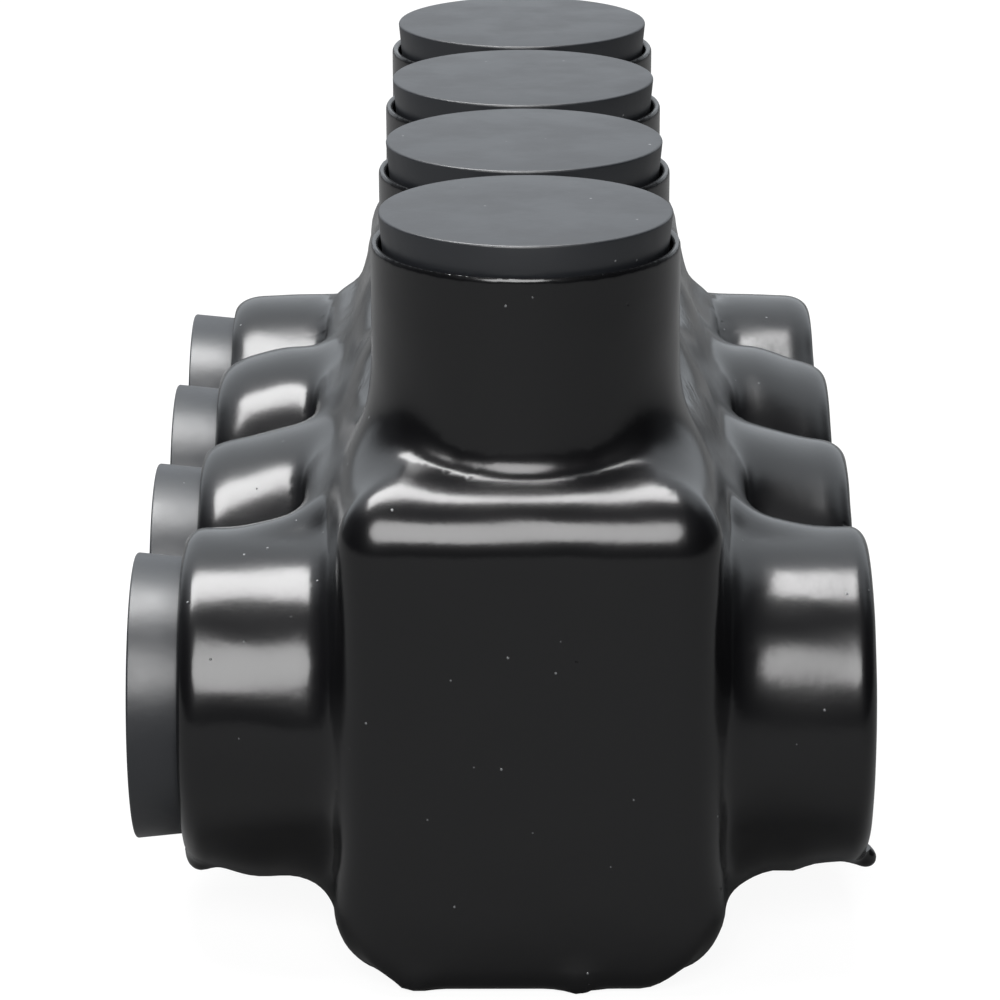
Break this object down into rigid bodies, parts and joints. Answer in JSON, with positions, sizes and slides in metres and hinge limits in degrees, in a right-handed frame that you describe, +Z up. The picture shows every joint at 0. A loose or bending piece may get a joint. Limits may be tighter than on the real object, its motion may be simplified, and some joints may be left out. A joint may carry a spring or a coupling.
{
  "type": "insulated multi-tap connector",
  "caption": "Aluminium terminal block in a dip-moulded black jacket, with wire ports through it, set screws from above and rubber plugs in the collars.",
  "frame": {"origin": "centre of the flat underside of the jacket, under the middle of the row of ports", "axes": "+X along the wires towards the open ports, +Y along the row of ports, +Z up along the set screws"},
  "size_m": [0.0661, 0.1206, 0.0664],
  "materials": {
    "jacket_vinyl": "black dip-moulded vinyl, glossy with soft ripples",
    "plug_rubber": "dark blue-grey moulded rubber, matte with a faint sheen",
    "block_aluminium": "extruded, bored and lightly brushed",
    "screw_aluminium": "turned, with a broached hexagon socket"
  },
  "bodies": {
    "connector": {"insulating_jacket": "jacket_vinyl", "terminal_block": "block_aluminium"},
    "set_screw_1": {"set_screw_1": "screw_aluminium"},
    "set_screw_2": {"set_screw_2": "screw_aluminium"},
    "set_screw_3": {"set_screw_3": "screw_aluminium"},
    "set_screw_4": {"set_screw_4": "screw_aluminium"},
    "screw_plug_1": {"screw_plug_1": "plug_rubber"},
    "screw_plug_2": {"screw_plug_2": "plug_rubber"},
    "screw_plug_3": {"screw_plug_3": "plug_rubber"},
    "screw_plug_4": {"screw_plug_4": "plug_rubber"},
    "entry_plug_1": {"entry_plug_1": "plug_rubber"},
    "entry_plug_2": {"entry_plug_2": "plug_rubber"},
    "entry_plug_3": {"entry_plug_3": "plug_rubber"},
    "entry_plug_4": {"entry_plug_4": "plug_rubber"}
  },
  "joints": [
    {"name": "clamp_screw_1", "type": "slide", "parent": "connector", "child": "set_screw_1", "axis": [0, 0, -1], "range_m": [-0.003, 0.0145]},
    {"name": "clamp_screw_2", "type": "slide", "parent": "connector", "child": "set_screw_2", "axis": [0, 0, -1], "range_m": [-0.003, 0.0145]},
    {"name": "clamp_screw_3", "type": "slide", "parent": "connector", "child": "set_screw_3", "axis": [0, 0, -1], "range_m": [-0.003, 0.0145]},
    {"name": "clamp_screw_4", "type": "slide", "parent": "connector", "child": "set_screw_4", "axis": [0, 0, -1], "range_m": [-0.003, 0.0145]},
    {"name": "lift_screw_plug_1", "type": "slide", "parent": "connector", "child": "screw_plug_1", "axis": [0, 0, 1], "range_m": [0, 0.02]},
    {"name": "lift_screw_plug_2", "type": "slide", "parent": "connector", "child": "screw_plug_2", "axis": [0, 0, 1], "range_m": [0, 0.02]},
    {"name": "lift_screw_plug_3", "type": "slide", "parent": "connector", "child": "screw_plug_3", "axis": [0, 0, 1], "range_m": [0, 0.02]},
    {"name": "lift_screw_plug_4", "type": "slide", "parent": "connector", "child": "screw_plug_4", "axis": [0, 0, 1], "range_m": [0, 0.02]},
    {"name": "pull_entry_plug_1", "type": "slide", "parent": "connector", "child": "entry_plug_1", "axis": [-1, 0, 0], "range_m": [0, 0.02]},
    {"name": "pull_entry_plug_2", "type": "slide", "parent": "connector", "child": "entry_plug_2", "axis": [-1, 0, 0], "range_m": [0, 0.02]},
    {"name": "pull_entry_plug_3", "type": "slide", "parent": "connector", "child": "entry_plug_3", "axis": [-1, 0, 0], "range_m": [0, 0.02]},
    {"name": "pull_entry_plug_4", "type": "slide", "parent": "connector", "child": "entry_plug_4", "axis": [-1, 0, 0], "range_m": [0, 0.02]}
  ]
}
